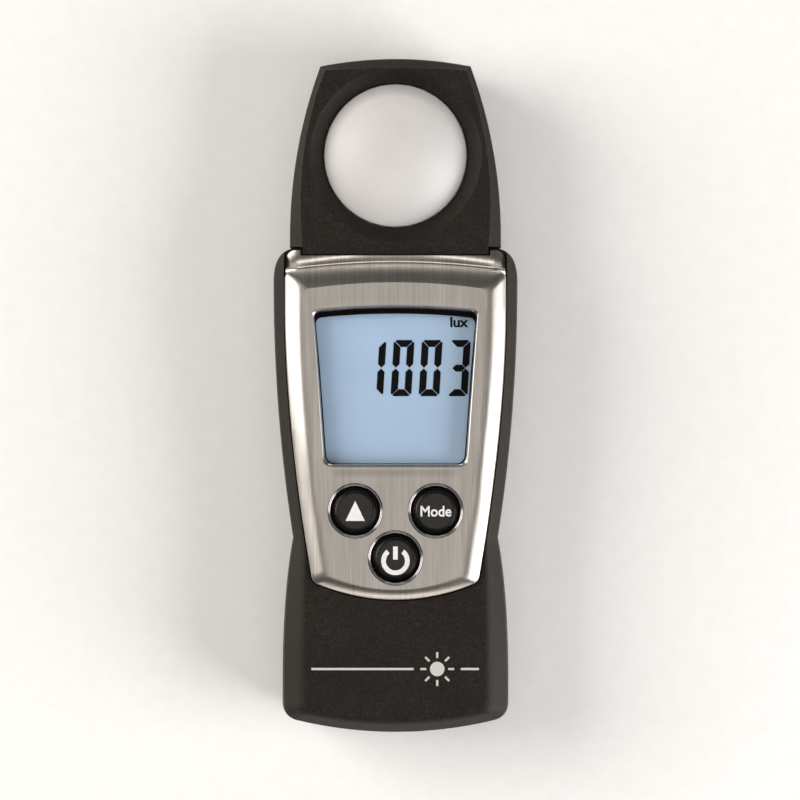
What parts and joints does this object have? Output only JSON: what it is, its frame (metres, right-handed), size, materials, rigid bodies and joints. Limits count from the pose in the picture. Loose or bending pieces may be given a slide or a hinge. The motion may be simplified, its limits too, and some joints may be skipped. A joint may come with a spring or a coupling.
{
  "type": "handheld light meter",
  "caption": "Pocket light meter with a white domed sensor in a tapered head, a small display in a metal bezel, round keys and a sliding battery cover.",
  "frame": {"origin": "middle of the footprint, on the flat back of the housing", "axes": "+Z out of the display face, +Y towards the sensor head, +X to the right of someone reading the display"},
  "size_m": [0.046, 0.1264, 0.024],
  "materials": {
    "black_abs": "fine spark-eroded texture, satin",
    "satin_nickel": "brushed along the meter's length, satin",
    "dark_chrome": "polished, dark plated",
    "opal": "milky, satin",
    "clear_window": "clear, glossy",
    "display": "smooth, light blue",
    "white_plastic": "smooth",
    "key_gloss": "glossy, white printed symbols",
    "rubber": "matt",
    "circuit_board": "solder resist, satin",
    "component_black": "moulded",
    "filter_glass": "clear, green tint",
    "ribbon": "smooth film",
    "cell_can": "printed sleeve, satin",
    "contact_plate": "nickel plated, satin",
    "screw_steel": "zinc plated, satin",
    "label": "printed film, blank"
  },
  "bodies": {
    "meter_body": {"rear_shell": "black_abs", "front_shell": "black_abs", "sensor_head_cover": "black_abs", "bezel_plate": "satin_nickel", "rating_label": "label", "case_screw_1": "screw_steel", "case_screw_2": "screw_steel", "case_screw_3": "screw_steel", "case_screw_4": "screw_steel", "display_window": "clear_window", "lcd_cell": "display", "lcd_light_guide": "white_plastic", "lcd_frame": "black_abs", "lcd_connector_strip": "rubber", "up_button_ring": "dark_chrome", "up_snap_dome": "contact_plate", "mode_button_ring": "dark_chrome", "mode_snap_dome": "contact_plate", "power_button_ring": "dark_chrome", "power_snap_dome": "contact_plate", "keypad_mat": "rubber", "main_board": "circuit_board", "controller_chip": "component_black", "timing_crystal": "screw_steel", "ribbon_socket": "white_plastic", "sensor_ribbon": "ribbon", "board_screw_left": "screw_steel", "board_screw_right": "screw_steel", "diffuser_dome": "opal", "sensor_carrier": "component_black", "colour_filter": "filter_glass", "photodiode": "component_black", "sensor_board": "circuit_board", "dome_gasket": "rubber", "sensor_screw_left": "screw_steel", "sensor_screw_right": "screw_steel", "cell_left": "cell_can", "cell_right": "cell_can", "bridge_contact": "contact_plate", "negative_terminal": "contact_plate", "positive_terminal": "contact_plate"},
    "battery_cover": {"battery_cover": "black_abs"},
    "up_button": {"up_button": "key_gloss"},
    "mode_button": {"mode_button": "key_gloss"},
    "power_button": {"power_button": "key_gloss"}
  },
  "joints": [
    {"name": "battery_cover_slide", "type": "slide", "parent": "meter_body", "child": "battery_cover", "axis": [0, -1, 0], "range_m": [0, 0.058]},
    {"name": "up_button_press", "type": "slide", "parent": "meter_body", "child": "up_button", "axis": [0, 0, -1], "range_m": [0, 0.0006], "stiffness_N_per_m": 800},
    {"name": "mode_button_press", "type": "slide", "parent": "meter_body", "child": "mode_button", "axis": [0, 0, -1], "range_m": [0, 0.0006], "stiffness_N_per_m": 800},
    {"name": "power_button_press", "type": "slide", "parent": "meter_body", "child": "power_button", "axis": [0, 0, -1], "range_m": [0, 0.0006], "stiffness_N_per_m": 800}
  ]
}
